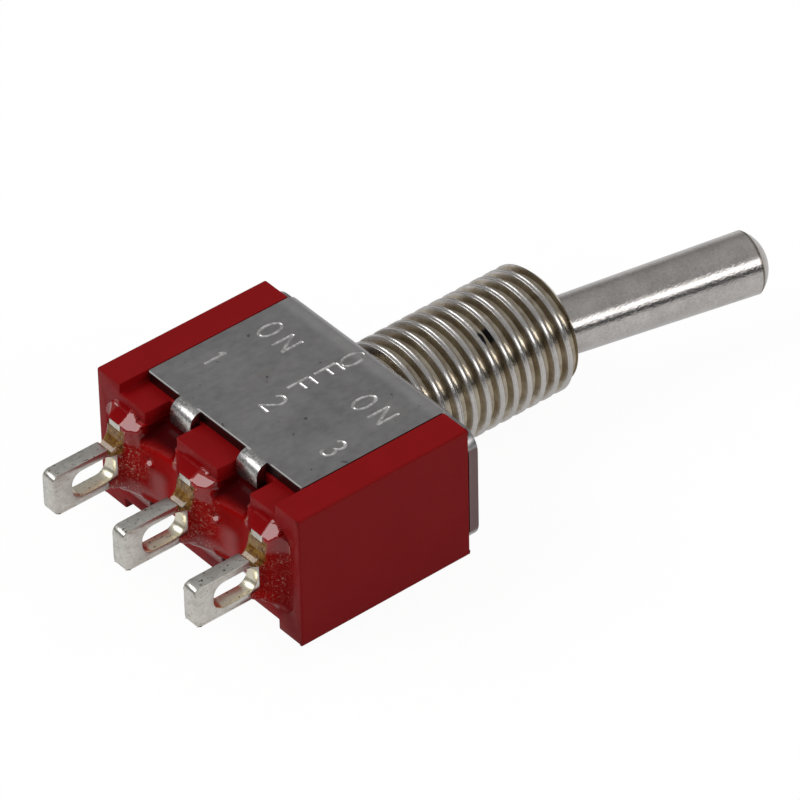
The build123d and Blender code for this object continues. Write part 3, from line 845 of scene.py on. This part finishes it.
floorValues = {"size": 1.4, "height": -0.003337, "cameraShare": 0.85, "glossyShare": 0.4, "glow": 1.11,
               "paper": (0.637, 0.65), "rough": 0.9, "specular": 0.1}
roomValues = {"wall": ((0.0, 0.012), (0.14, 0.035), (0.32, 0.17), (0.55, 0.32), (0.8, 0.38), (1.0, 0.42)),
              "board": (0.62, 0.61, 0.61), "boardToward": (-0.78, 0.63), "boardShare": 0.8}
lampValues = {
    "rightStrip": {"toward": (0.793, 0.37, 0.485), "far": 0.4, "size": (0.29, 0.11), "radiance": 2.4},
    "frontBox": {"toward": (-0.435, -0.636, 0.638), "far": 0.4, "size": (0.27, 0.13), "radiance": 4.3},
}
cameraValues = {"azimuth": 51.14, "elevation": 39.05, "roll": -1.29, "far": 303.6, "shift": (1.37, 0.67),
                "focalPixels": 7258, "pictureWidth": 800, "sensorWidth": 36,
                "slide": (0, -0.00048, 0), "clip": (0.01, 5)}


def makeFloor():
    v = floorValues
    clearSelection()
    bpy.ops.mesh.primitive_plane_add(size=v["size"], location=(0, 0, v["height"]))
    floor = bpy.context.object
    floor.name = "floor"
    material, tree, shader = newMaterial("paperWhite")
    feed(tree, twoTone(tree, noise(tree, mmCoords(tree), 0.5), v["paper"]), shader.inputs["Base Color"])
    shader.inputs["Roughness"].default_value = v["rough"]
    shader.inputs["Specular IOR Level"].default_value = v["specular"]
    glow = node(tree, "ShaderNodeEmission", Strength=v["glow"])
    path = tree.nodes.new("ShaderNodeLightPath")
    seen = product(tree, path.outputs["Is Camera Ray"], v["cameraShare"])
    mirrored = most(tree, path.outputs["Is Glossy Ray"], path.outputs["Is Transmission Ray"])
    surface = tree.nodes.new("ShaderNodeMixShader")
    tree.links.new(sums(tree, "MULTIPLY_ADD", mirrored, v["glossyShare"], seen), surface.inputs["Fac"])
    tree.links.new(shader.outputs[0], surface.inputs[1])
    tree.links.new(glow.outputs[0], surface.inputs[2])
    tree.links.new(surface.outputs[0], tree.nodes["Material Output"].inputs["Surface"])
    floor.data.materials.append(material)


def makeWorld():
    v = roomValues
    world = bpy.data.worlds.new("studio")
    bpy.context.scene.world = world
    world.use_nodes = True
    tree = world.node_tree
    split = tree.nodes.new("ShaderNodeSeparateXYZ")
    tree.links.new(tree.nodes.new("ShaderNodeTexCoord").outputs["Generated"], split.inputs[0])
    x, y, z = split.outputs
    boardX, boardY = v["boardToward"]
    behind = sums(tree, "MULTIPLY_ADD", x, boardX, product(tree, y, boardY))
    board = product(tree, fade(tree, behind, 0.35, 0.85), fade(tree, z, 0.45, 0.1), v["boardShare"])
    room = blend(tree, board, ramp(tree, z, v["wall"]), v["board"])
    seen = tree.nodes.new("ShaderNodeLightPath").outputs["Is Camera Ray"]
    tree.links.new(blend(tree, seen, room, (1.0, 1.0, 1.0)), tree.nodes["Background"].inputs["Color"])


def makeLamps():
    for name, v in lampValues.items():
        toward = Vector(v["toward"]).normalized()
        clearSelection()
        bpy.ops.object.light_add(type="AREA", location=toward * v["far"])
        lamp = bpy.context.object
        lamp.name = name
        lamp.data.shape = "RECTANGLE"
        lamp.data.size, lamp.data.size_y = v["size"]
        lamp.data.energy = v["radiance"] * math.pi * v["size"][0] * v["size"][1]
        lamp.rotation_euler = (-toward).to_track_quat("-Z", "Y").to_euler()  # width lies level


def makeCamera():
    v = cameraValues
    azimuth, elevation, roll = (math.radians(v[key]) for key in ("azimuth", "elevation", "roll"))
    level = math.cos(elevation)
    back = Vector((math.sin(azimuth) * level, -math.cos(azimuth) * level, math.sin(elevation)))
    right = Vector((math.cos(azimuth), math.sin(azimuth), 0))
    up = back.cross(right)
    across = right * math.cos(roll) + up * math.sin(roll)
    upright = up * math.cos(roll) - right * math.sin(roll)
    place = (across * v["shift"][0] + upright * v["shift"][1] + back * v["far"]) / toMm + Vector(v["slide"])
    clearSelection()
    bpy.ops.object.camera_add(location=place)
    camera = bpy.context.object
    camera.rotation_euler = Matrix((across, upright, back)).transposed().to_euler()
    camera.data.lens = v["focalPixels"] / v["pictureWidth"] * v["sensorWidth"]
    camera.data.clip_start, camera.data.clip_end = v["clip"]
    bpy.context.scene.camera = camera


makeFloor()
makeWorld()
makeLamps()
makeCamera()
bpy.context.scene.view_settings.view_transform = "Standard"
print("stage set")
